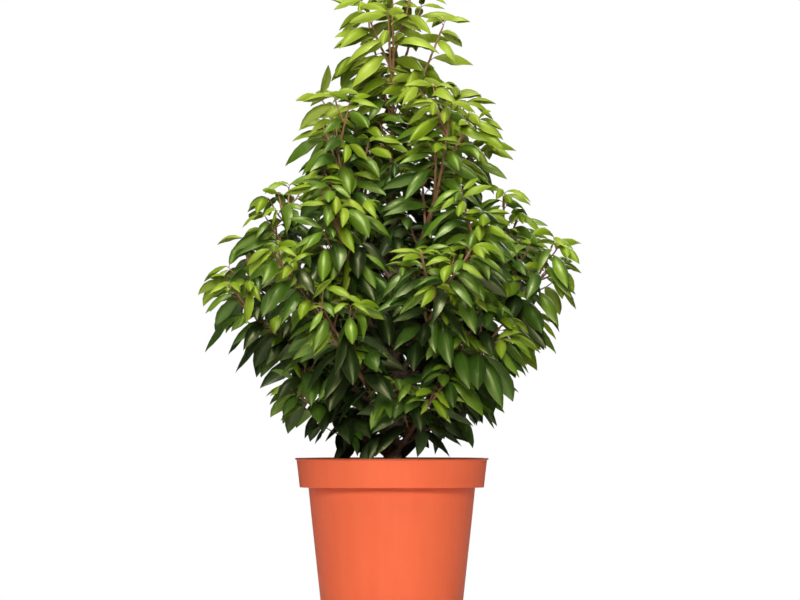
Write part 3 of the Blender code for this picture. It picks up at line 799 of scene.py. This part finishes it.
def growCrown():
    t = twigValues
    rng = random.Random(t["seed"])
    fineAngle = radians(t["fineAngle"])
    sprays = []
    for limb, shoots in zip(limbs, massShoots):
        for order, (path, radii) in enumerate(shoots):
            points, sizes = growShoot(path, radii, rng, order == 0, limb)
            sprays.append(dict(points=points, sizes=sizes, rank=min(order, 1)))
    taken = [(spot, index) for index, spray in enumerate(sprays) for spot in spray["points"]]

    def addFine(rank, start, axis, around, angle, lengths, base=0.0, owner=-1):
        grown = growFine(start, axis, around, angle, lengths, base, owner, taken, rng)
        if grown:
            sprays.append(dict(points=grown[0], sizes=grown[1], rank=rank))
            taken.extend((spot, len(sprays) - 1) for spot in grown[0])

    for index, spray in enumerate(list(sprays)):
        points = spray["points"]
        count = int(lengthsAlong(points)[-1] * (1 - t["fineFirst"]) / t["fineEvery"])
        around = rng.uniform(0, tau)
        for k in range(count):
            at = int(between(t["fineFirst"], t["fineLast"], (k + 0.5) / count) * (len(points) - 1))
            around += goldenAngle
            if points[at].z <= t["fineTop"]:
                axis = (points[at + 1] - points[at - 1]).normalized()
                addFine(2, points[at], axis, around, fineAngle, t["fineLength"], owner=index)
    # inner twigs on the bare boughs, and spurs on the trunk between them
    for limb in bareLimbs:
        curve = limb["curve"]
        first = t["innerFirst"] / tangent(curve, 0).length
        length = tangent(curve, limb["share"] / 2).length * (limb["share"] - first)
        around = rng.uniform(0, tau)
        count = round(length / t["innerEvery"] * (2 if limb["tier"] == "skirt" else 1))
        for k in range(count):
            share = between(first, limb["share"], (k + 0.6) / count)
            around += goldenAngle
            addFine(3, along(curve, share), tangent(curve, share).normalized(), around, fineAngle,
                    t["innerLength"], limbRadius(limb, share) * t["seat"])
    height, around = t["spurLow"], 0.0
    leader = limbs[-1]["curve"]
    while height < t["spurHigh"]:
        around += goldenAngle
        past = (height - leader[0].z) / (leader[2].z - leader[0].z)
        spot = trunkAxis(height) if past < 0 else along(leader, past)
        base = trunkRadius(height) * t["seat"]
        addFine(3, spot, up, around, radians(t["spurAngle"]), t["spurLength"], base)
        middle = min(height - t["spurLow"], growValues["top"] - height) / t["spurEase"]
        height += between(*t["spurEvery"], within(middle))
    return sprays


def buildTubes(name, paths, resolution):
    # one curve object with a spline for each path, turned into a mesh
    curve = setAll(bpy.data.curves.new(name, "CURVE"), dict(
        dimensions="3D", bevel_depth=1.0, bevel_resolution=resolution, use_fill_caps=True))
    for points, sizes in paths:
        spline = curve.splines.new("POLY")
        spline.points.add(len(points) - 1)
        for knot, spot, size in zip(spline.points, points, sizes):
            knot.co = (*spot, 1.0)
            knot.radius = size
    makeActive(putInScene(name, curve))
    bpy.ops.object.convert(target="MESH")
    return bpy.context.object


def buildTwigs(v, sprays):
    rng = random.Random(v["seed"] + 1)
    paths = []
    for spray in sprays:
        sizes = list(spray["sizes"])
        for k in range(1, len(sizes) - 1):
            sizes[k] *= 1 + v["knob"] * rng.uniform(*v["knobSpread"])
        sizes[-1] *= v["blunt"]
        paths.append((spray["points"], sizes))
    twigs = buildTubes("twigs", paths, 1)
    settle(twigs, v["smooth"])
    return twigs


def twigFinish(v):
    made, tree, shader, place, colour = mottledMaterial("youngWood", v)
    young = spread(tree, axesOf(tree, place)[2], *v["greenHeights"], 0.0, v["greenShare"])
    feed(tree, shader, {"Base Color": mixColour(tree, young, colour, v["green"])})
    addBump(tree, shader, noiseNode(tree, place, 1300.0), v)
    return made


sprays = growCrown()
twigs = buildTwigs(twigValues, sprays)
finishPiece(twigs, twigFinish(twigValues), foliageNames)


# Bark: trunk and boughs in one skin, with a collar where each bough leaves

barkValues = dict(
    sides=28, rings=64, sink=0.002, collar=0.55, collarLength=0.010, voxel=0.0011, relief=0.0007,
    reliefSize=0.006, rough=(0.62, 0.86), lenticel=(0.44, 0.29, 0.19), lenticelShare=0.55,
    mottle=dict(Colour=(0.190, 0.105, 0.070), Other=(0.33, 0.225, 0.160), Coarse=42, Fine=380, Amount=0.75),
    bump=(0.6, 0.0012), flutes=((0.035, 3, 22), (0.02, 7, -31)), smooth=60, reliefSmooth=80,
)


def buildTrunk(v):
    g = growValues
    low, rings = g["foot"] - v["sink"], v["rings"]
    heights = [between(low, g["top"], (k / rings) ** 1.2) for k in range(rings + 1)]
    trunk = drawRings("barkLimbs", [trunkAxis(h) for h in heights], [trunkRadius(h) for h in heights],
                      v["sides"])
    for vert in trunk.data.vertices:
        centre = trunkAxis(vert.co.z)
        out = vert.co - centre
        around = atan2(out.y, out.x)
        flare = g["flare"] * exp(-max(vert.co.z - g["foot"], 0.0) / g["flareHeight"])
        flare *= 1.0 + 0.5 * cos(g["lobes"] * around)
        flute = 1.0
        for deep, count, rise in v["flutes"]:
            flute += deep * sin(count * around + vert.co.z * rise)
        vert.co = centre + out.normalized() * (out.length * flute + flare)
    return trunk


def buildBark(v):
    trunk = buildTrunk(v)
    paths = []
    for limb in bareLimbs:
        points, radii = bareLimb(limb, 14)
        away = [max((spot - points[0]).length - trunkRadius(spot.z), 0) for spot in points]
        paths.append((points, [radius * (1 + v["collar"] * exp(-far / v["collarLength"]))
                               for radius, far in zip(radii, away)]))
    boughs = buildTubes("boughs", paths, 3)
    makeActive(trunk)
    boughs.select_set(True)
    bpy.ops.object.join()
    bark = bpy.context.object
    settle(bark, v["smooth"])
    clouds = setAll(bpy.data.textures.new("barkRelief", "CLOUDS"), dict(
        noise_scale=v["reliefSize"], noise_depth=3))
    addStep(bark, "REMESH", mode="VOXEL", voxel_size=v["voxel"])
    addStep(bark, "SMOOTH", factor=0.5, iterations=3)
    addStep(bark, "DISPLACE", texture=clouds, texture_coords="LOCAL", strength=v["relief"])
    applySteps(bark)
    settle(bark, v["reliefSmooth"])
    return bark


def barkFinish(v):
    made, tree, shader, place, colour = mottledMaterial("laurelBark", v)
    # short corky bands that lie across the stem
    spots = spread(tree, noiseNode(tree, place, 90.0, 2.0, stretch=(0.9, 0.9, 5.5)), 0.60, 0.70)
    banded = mixColour(tree, times(tree, spots, v["lenticelShare"]), colour, v["lenticel"])
    feed(tree, shader, {"Base Color": banded})
    cracks = noiseNode(tree, place, 320.0, 5.0, 0.6, (1.6, 1.6, 0.5))
    addBump(tree, shader, mathNode(tree, "ADD", times(tree, spots, 0.7), cracks), v)
    return made


barkLimbs = buildBark(barkValues)
finishPiece(barkLimbs, barkFinish(barkValues), ["trunk", *boughNames])


# Leaves: one blade modelled flat, then laid along each leaf's own arch

leafValues = dict(
    across=6, rows=(0.0, 0.09, 0.26, 0.45, 0.64, 0.82, 0.93, 1.0),
    halfWidths=(0.05, 0.44, 0.86, 1.0, 0.88, 0.51, 0.20, 0.02),
    hang=(0.0, -0.05, -0.16, -0.33),  # how each column hangs, from the midrib out
    tuck=0.52, ripple=0.055, rippleWaves=11, arch=1.25, petiole=0.0085, petioleRadius=0.00055,
    petioleTaper=(1.25, 1.0, 0.6), seed=1011, tries=7, tryTurn=0.55, tryShrink=0.05, tryRoll=0.25,
    lengthSpread=0.20, twist=0.6, riseSpread=0.30, riseCalm=0.4, level=0.66, angle=66, angleSpread=9,
    curlSpread=(0.65, 1.3), droopSpread=(0.7, 1.3), droopEase=0.7,
    youngAngle=42, youngLevel=0.6, youngPetiole=0.5, youngDroop=0.10,
    # each pair goes from the crown's foot to its top
    length=(0.082, 0.070), width=(0.46, 0.40), spacing=(0.0134, 0.0130), curl=(0.60, 1.50), roll=(0.75, 0.22),
    rise=(0.42, 0.78), droop=(1.80, 1.50), youngShrink=(0.50, 0.32),
    # each four go by rank: stem, side shoot, fine twig, inner twig
    youngReach=(0.050, 0.050, 0.026, 0.026), bare=(0.10, 0.12, 0.20, 0.20),
    skirt=((0.088, 0.228), (0.110, 0.247), (0.125, 0.262), (0.17, 0.284), (0.23, 0.345)),
    skirtLength=0.030, skirtGrow=1.1, crownFoot=0.240, boxMargin=0.004, cell=0.03,
)
# the terms that deal a tone to each leaf: height and crest are partly younger growth and partly painted light
# from above, the outside term is painted light and shade, foot is painted light on the lowest leaves, young
# is younger growth, and the inner term is painted shade on the inner twigs' leaves
toneWithPaintedLightValues = dict(
    base=-0.14, height=0.42, heightSquared=0.54, outer=(0.45, -0.10), young=(0.50, 0.16), youngLength=0.045,
    crest=0.34, crestFrom=0.66, crestDeep=0.16, foot=0.12, footShare=0.15, innerPaintedShade=-0.30,
    spraySpread=0.08, leafSpread=0.05, spread=(1.35, 0.65),
    outline=((0.24, 0.13), (0.33, 0.20), (0.45, 0.25), (0.55, 0.24), (0.65, 0.17), (0.75, 0.12),
             (0.95, 0.05)),
)
# five leaf tones from dark to light, dealt by the tone terms above: the darkest, leavesPaintedShade, is
# painted shade for leaves inside and low in the crown, and the lighter tones are partly younger growth and
# partly painted light
leafTones = (
    dict(name="leavesPaintedShade", gloss=0.85, blade=(0.002, 0.007, 0.0015), light=(0.011, 0.031, 0.005),
         vein=(0.04, 0.08, 0.015)),
    dict(name="leavesDeep", gloss=0.90, blade=(0.009, 0.032, 0.003), light=(0.064, 0.142, 0.012),
         vein=(0.10, 0.19, 0.03)),
    dict(name="leavesMid", gloss=0.75, blade=(0.038, 0.088, 0.004), light=(0.122, 0.212, 0.012),
         vein=(0.18, 0.28, 0.04)),
    dict(name="leavesFresh", gloss=0.45, blade=(0.118, 0.190, 0.004), light=(0.182, 0.262, 0.012),
         vein=(0.30, 0.38, 0.04)),
    dict(name="leavesLime", gloss=0.36, blade=(0.165, 0.235, 0.010), light=(0.235, 0.305, 0.026),
         vein=(0.42, 0.48, 0.09)),
)


def modelBlade(v):
    # a flat grid, each row pulled to its place and width, and each column hung under the midrib
    selectNothing()
    rows, halves = v["rows"], v["halfWidths"]
    bpy.ops.mesh.primitive_grid_add(x_subdivisions=v["across"], y_subdivisions=len(rows) - 1, size=1)
    grid = bpy.context.object
    pattern, uvs, rowOf = [], [], []
    for x, y, _ in (vert.co for vert in grid.data.vertices):
        row = round((y + 0.5) * (len(rows) - 1))
        column = round(abs(x) * v["across"])
        pattern.append((x * halves[row], rows[row], v["hang"][column] * halves[row]))
        uvs.append((x + 0.5, rows[row]))
        rowOf.append(row)
    faces = [tuple(face.vertices) for face in grid.data.polygons]
    bpy.data.objects.remove(grid)
    return np.array(pattern), np.array(faces), np.array(uvs), np.array(rowOf)


def leafLine(spot, heading, length, droop, roll, twist):
    # the midrib's points, and which way is across and up at each
    face = (up - heading * heading.z + heading.orthogonal() * 0.001).normalized()
    across = Matrix.Rotation(roll, 3, heading) @ heading.cross(face).normalized()
    here, way, before = spot.copy(), heading.copy(), 0.0
    centres, sides, normals = [], [], []
    for row in leafValues["rows"]:
        step = row - before
        if step > 0:
            way = (way - up * droop * step * leafValues["arch"]).normalized()
            here = here + way * length * step
            across = Matrix.Rotation(twist * step, 3, way) @ across
        across = (across - way * across.dot(way)).normalized()
        centres.append(here.copy())
        sides.append(across.copy())
        normals.append(across.cross(way).normalized())
        before = row
    return centres, sides, normals


def leafStrip(centres, sides, width):
    # a coarse strip of the blade for the clash test
    points, faces = [], []
    for index in (1, 3, 5, 7):
        half = leafValues["halfWidths"][index] * width / 2
        points += [centres[index] - sides[index] * half, centres[index] + sides[index] * half]
    for a in (0, 2, 4):
        faces += [(a, a + 1, a + 3), (a, a + 3, a + 2)]
    return points, faces


def readTable(table, at):
    return float(np.interp(at, *zip(*table)))


def lowestAt(spot):
    # the skirt of the crown rises away from the trunk
    return readTable(leafValues["skirt"], hypot(spot.x, spot.y))


def crownShare(height):
    # how high in the crown, 0 at its foot and 1 at its top
    low = leafValues["crownFoot"]
    return within((height - low) / (growValues["leaderTip"] - low))


def strays(centres):
    # under the skirt, or with its tip past the solid model's box
    margin = leafValues["boxMargin"]
    return any(spot.z < lowestAt(spot) for spot in centres) or any(
        not low - margin <= at <= high + margin for at, low, high in zip(centres[-1], cadLow, cadHigh))


def planLeaf(spray, lengths, share, rng):
    # where one leaf stands on its shoot, and how it is to hang
    v = leafValues
    points, total = spray["points"], lengths[-1]
    at = share * total
    part = max(k for k in range(len(points) - 1) if lengths[k] <= at + 1e-9)
    spot = points[part].lerp(points[part + 1], (at - lengths[part]) / (lengths[part + 1] - lengths[part]))
    high = crownShare(spot.z)
    youth = max(0.0, 1 - (total - at) / v["youngReach"][spray["rank"]])
    size = between(*v["length"], high)
    size *= (1 + v["lengthSpread"] * rng.uniform(-1, 1)) * (1 - between(*v["youngShrink"], high) * youth)
    droop = (1 - v["youngDroop"] * youth) * rng.uniform(*v["droopSpread"])
    droop = between(*v["droop"], high ** v["droopEase"]) * droop
    roll = between(*v["roll"], high) * rng.uniform(-1, 1)
    twist = rng.uniform(-v["twist"], v["twist"])
    angle = between(v["angle"], v["youngAngle"], youth) + rng.uniform(-v["angleSpread"], v["angleSpread"])
    rise = between(*v["rise"], high) + rng.gauss(0, v["riseSpread"]) * (1 - v["riseCalm"] * high)
    size = min(size, v["skirtLength"] + v["skirtGrow"] * (spot.z - lowestAt(spot)))
    return dict(spot=spot, axis=(points[part + 1] - points[part]).normalized(), high=high, youth=youth,
                fromTip=total - at, size=size, droop=droop, roll=roll, twist=twist, angle=radians(angle),
                rise=rise, rank=spray["rank"])


def placeLeaf(leaf, around, wood, cells, leaves):
    # the first of a few tries that clashes with no limb, no twig and no leaf
    v = leafValues
    axis, youth, angle = leaf["axis"], leaf["youth"], leaf["angle"]
    for attempt in range(v["tries"]):
        turn = around + v["tryTurn"] * attempt
        heading = leanOut(axis, axis.orthogonal().normalized(), turn, angle).normalized()
        # the stalk turns each blade towards the rise that leaves of its height have
        rise = asin(within(heading.z, -1, 1))
        rise += (leaf["rise"] - rise) * v["level"] * (1 - v["youngLevel"] * youth)
        flat = Vector((heading.x, heading.y, 0)).normalized()
        heading = (flat * cos(rise) + up * sin(rise)).normalized()
        base = leaf["spot"] + heading * (v["petiole"] * (1 - v["youngPetiole"] * youth))
        length = leaf["size"] * (1 - v["tryShrink"] * attempt)
        roll = leaf["roll"] + v["tryRoll"] * attempt
        centres, sides, normals = leafLine(base, heading, length, leaf["droop"], roll, leaf["twist"])
        if strays(centres):
            continue
        width = length * between(*v["width"], leaf["high"])
        shape, faces = leafStrip(centres, sides, width)
        tree = BVHTree.FromPolygons(shape, faces)
        if tree.overlap(guard) or tree.overlap(wood):
            continue
        keys = {tuple(int(c // v["cell"]) for c in p) for p in shape}
        near = {k for key in keys for k in cells.get(key, ())}
        if any(tree.overlap(leaves[k]["tree"]) for k in near):
            continue
        for key in keys:
            cells.setdefault(key, []).append(len(leaves))
        return dict(centres=centres, sides=sides, normals=normals, width=width, tree=tree, base=base)
    return None


def toneWithPaintedLightOf(leaf, sprayTone, rng):
    # how light a leaf's tone is: lighter up the crown and at its crest, partly younger growth and partly
    # painted light from above; lighter outside and darker inside, painted light and shade; lighter at the
    # shoots' tips, younger growth; lighter at the very foot, painted light; darker on the inner twigs,
    # painted shade
    g = toneWithPaintedLightValues
    spot, high = leaf["spot"], leaf["high"]
    outer = min(hypot(spot.x, spot.y) / readTable(g["outline"], spot.z), 1.2)
    young = max(0.0, 1 - leaf["fromTip"] / g["youngLength"])
    crest = within((spot.z - g["crestFrom"]) / g["crestDeep"])
    foot = max(0.0, 1 - high / g["footShare"])
    toneWithPaintedLight = g["base"] + g["height"] * high + g["heightSquared"] * high ** 2
    # painted light and shade: lighter towards the crown's outside, darker inside
    toneWithPaintedLight += between(*g["outer"], high) * outer ** 2
    # crest is partly painted light from above, and foot is painted light on the lowest leaves
    toneWithPaintedLight += g["crest"] * crest + g["foot"] * foot + between(*g["young"], high) * young
    toneWithPaintedLight += (sprayTone + rng.gauss(0, g["leafSpread"])) * between(*g["spread"], high)
    # painted shade: darker leaves on the inner twigs
    return toneWithPaintedLight + (g["innerPaintedShade"] if leaf["rank"] == 3 else 0.0)


def plantLeaves(sprays):
    v = leafValues
    rng = random.Random(v["seed"])
    wood = BVHTree.FromPolygons(*joinTubes(
        (spray["points"], [size + growValues["gap"] for size in spray["sizes"]], 3) for spray in sprays))
    cells, leaves = {}, []
    for spray in sprays:
        lengths = lengthsAlong(spray["points"])
        bare = v["bare"][spray["rank"]]
        sprayHigh = crownShare(spray["points"][len(lengths) // 2].z)
        count = max(3, round(lengths[-1] * (1 - bare) / between(*v["spacing"], sprayHigh)))
        around = rng.uniform(0, tau)
        sprayTone = rng.gauss(0, toneWithPaintedLightValues["spraySpread"])
        for index in range(count + 2):
            around += goldenAngle
            leaf = planLeaf(spray, lengths, bare + (1 - bare) * min((index + 0.6) / count, 1.0), rng)
            placed = placeLeaf(leaf, around, wood, cells, leaves)
            if placed:
                leaf.update(placed)
                toneWithPaintedLight = toneWithPaintedLightOf(leaf, sprayTone, rng)
                leaf["tone"] = int(within(toneWithPaintedLight * len(leafTones), 0, len(leafTones) - 1))
                leaf["curl"] = between(*v["curl"], leaf["high"]) * rng.uniform(*v["curlSpread"])
                leaf["shade"] = rng.random()
                leaves.append(leaf)
    return leaves


def buildLeaves(leaves):
    v = leafValues
    pattern, faces, uvs, rowOf = modelBlade(v)
    acrossBlade, alongBlade, under = pattern.T
    rng = random.Random(v["seed"] + 5)
    pieces = []
    for tone, look in enumerate(leafTones):
        copies, shades = [], []
        for leaf in (leaf for leaf in leaves if leaf["tone"] == tone):
            centres, sides, normals = (np.array(leaf[key]) for key in ("centres", "sides", "normals"))
            waves = np.sin(alongBlade * v["rippleWaves"] + rng.uniform(0, tau))
            ripple = v["ripple"] * waves * np.abs(acrossBlade)
            lift = (under * leaf["curl"] + ripple) * leaf["width"]
            reach = acrossBlade * (1 - v["tuck"] * leaf["curl"] * np.abs(acrossBlade)) * leaf["width"]
            copies.append(centres[rowOf] + sides[rowOf] * reach[:, None] + normals[rowOf] * lift[:, None])
            shades.append(leaf["shade"])
        if not copies:
            continue
        piece = stackCopies(look["name"], copies, faces)
        layer = piece.data.uv_layers.new(name="blade")
        layer.data.foreach_set("uv", np.tile(np.float32(uvs[faces.ravel()]).ravel(), len(copies)))
        layer = piece.data.attributes.new("tone", "FLOAT", "POINT")
        layer.data.foreach_set("value", np.repeat(np.float32(shades), len(pattern)))
        makeActive(piece)
        bpy.ops.object.shade_smooth()
        pieces.append((piece, look))
    return pieces


def buildStalks(leaves):
    # the leaf stalks, three-sided, from inside the shoot to under the blade's foot
    radii = [leafValues["petioleRadius"] * share for share in leafValues["petioleTaper"]]
    points, faces = joinTubes(
        ([leaf["spot"], leaf["base"], leaf["base"] + (leaf["centres"][1] - leaf["base"]) * 0.8], radii, 3)
        for leaf in leaves)
    piece = meshPiece("leafStalks", [tuple(p) for p in points], faces)
    settle(piece, stalkValues["smooth"])
    return piece


leafFinishValues = dict(
    underLight=0.55, underVein=0.45, underPale=(0.012, 0.016, 0.012), underShare=0.8, underRough=0.25,
    tint=(0.94, 1.0, 0.36), coatFrom=0.3, coatShare=0.36, coatRough=0.22, bump=(0.35, 0.0007),
)
stalkValues = dict(
    mottle=dict(Colour=(0.20, 0.055, 0.028), Other=(0.24, 0.20, 0.05), Coarse=70.0, Fine=500.0, Amount=0.7),
    rough=(0.4, 0.6), smooth=70,
)


def leafFinish(tone):
    v = leafFinishValues
    made, tree, shader, place = newMaterial(tone["name"])
    uv = addNode(tree, "ShaderNodeUVMap", uv_map="blade").outputs["UV"]
    shade = addNode(tree, "ShaderNodeAttribute", attribute_name="tone").outputs["Fac"]
    top = placeGroup(tree, leafBlade, Map=uv, Tone=shade, Place=place, Blade=tone["blade"],
                     Light=tone["light"], Vein=tone["vein"])
    back = addNode(tree, "ShaderNodeNewGeometry").outputs["Backfacing"]
    under = tuple(v["underLight"] * light + v["underVein"] * vein + pale
                  for light, vein, pale in zip(tone["light"], tone["vein"], v["underPale"]))
    feed(tree, shader, {
        "Base Color": mixColour(tree, times(tree, back, v["underShare"]), top["Colour"], under),
        "Roughness": mathNode(tree, "ADD", top["Roughness"], times(tree, back, v["underRough"])),
        "Specular IOR Level": tone["gloss"], "Specular Tint": v["tint"], "Coat Roughness": v["coatRough"],
        "Coat Weight": max(tone["gloss"] - v["coatFrom"], 0.0) * v["coatShare"],
    })
    addBump(tree, shader, top["Height"], v)
    return made


leaves = plantLeaves(sprays)
print("stage: leaf places", len(leaves))
for piece, tone in buildLeaves(leaves):
    finishPiece(piece, leafFinish(tone), foliageNames)
leafStalks = buildStalks(leaves)
finishPiece(leafStalks, mottledMaterial("leafStalk", stalkValues)[0], foliageNames)


# Camera, floor and light

studioValues = dict(
    cameraX=0.0115, cameraHeight=0.4621, distance=30.0, frameWidth=1.1248, sensor=36.0,
    floorRadius=2.3, floorColours=((0.66, 0.66, 0.66), (0.70, 0.70, 0.70)), floorRough=0.8,
    background=1.0, skyLight=0.13, skyColours=((0.15, 0.15, 0.145), (1.0, 1.0, 1.0)),
    panels=(
        dict(name="keyPanel", place=(-0.25, -0.9, 3.3), aim=(0.0, 0.0, 0.55), size=(1.7, 1.4), power=122.0),
        dict(name="frontPanel", place=(0.0, -3.9, 2.0), aim=(0.0, 0.0, 0.35), size=(1.5, 1.1), power=126.0),
        dict(name="backPanel", place=(0.8, 3.6, 1.9), aim=(0.0, 0.0, 0.40), size=(1.8, 1.3), power=40.0),
    ),
)


def placeCamera(v):
    camera = putInScene("camera", bpy.data.cameras.new("camera"))
    camera.location = (v["cameraX"], -v["distance"], v["cameraHeight"])
    camera.rotation_euler = (radians(90), 0, 0)
    camera.data.lens = v["sensor"] * v["distance"] / v["frameWidth"]
    camera.data.clip_end = 100
    bpy.context.scene.camera = camera
    bpy.context.scene.view_settings.view_transform = "Standard"


def layFloor(v):
    selectNothing()
    bpy.ops.mesh.primitive_circle_add(vertices=128, radius=v["floorRadius"], fill_type="NGON")
    floor = bpy.context.object
    floor.name = "studioFloor"
    made, tree, shader, place = newMaterial("paleFloor")
    colour = mixColour(tree, noiseNode(tree, place, 3.0), *v["floorColours"])
    feed(tree, shader, {"Base Color": colour, "Roughness": v["floorRough"]})
    floor.data.materials.append(made)


def hangPanels(v):
    for panel in v["panels"]:
        width, depth = panel["size"]
        lamp = setAll(bpy.data.lights.new(panel["name"], "AREA"), dict(
            shape="RECTANGLE", size=width, size_y=depth, energy=panel["power"]))
        holder = putInScene(panel["name"], lamp)
        holder.location = panel["place"]
        sight = Vector(panel["aim"]) - Vector(panel["place"])
        holder.rotation_euler = sight.to_track_quat("-Z", "Y").to_euler()


def lightSky(v):
    # white where the camera sees it, and a soft sky for the light
    world = bpy.data.worlds.new("studio")
    bpy.context.scene.world = world
    world.use_nodes = True
    tree = world.node_tree
    tree.nodes.clear()
    height = axesOf(tree, addNode(tree, "ShaderNodeTexCoord").outputs["Generated"])[2]
    sky = mixColour(tree, spread(tree, height, -0.2, 0.9), *v["skyColours"])
    lit = addNode(tree, "ShaderNodeBackground", dict(Color=sky, Strength=v["skyLight"]))
    seen = addNode(tree, "ShaderNodeBackground", dict(Color=(1.0, 1.0, 1.0), Strength=v["background"]))
    byCamera = addNode(tree, "ShaderNodeLightPath").outputs["Is Camera Ray"]
    mixer = addNode(tree, "ShaderNodeMixShader", {0: byCamera, 1: lit.outputs[0], 2: seen.outputs[0]})
    addNode(tree, "ShaderNodeOutputWorld", dict(Surface=mixer.outputs[0]))


placeCamera(studioValues)
layFloor(studioValues)
hangPanels(studioValues)
lightSky(studioValues)
print("stage: studio")
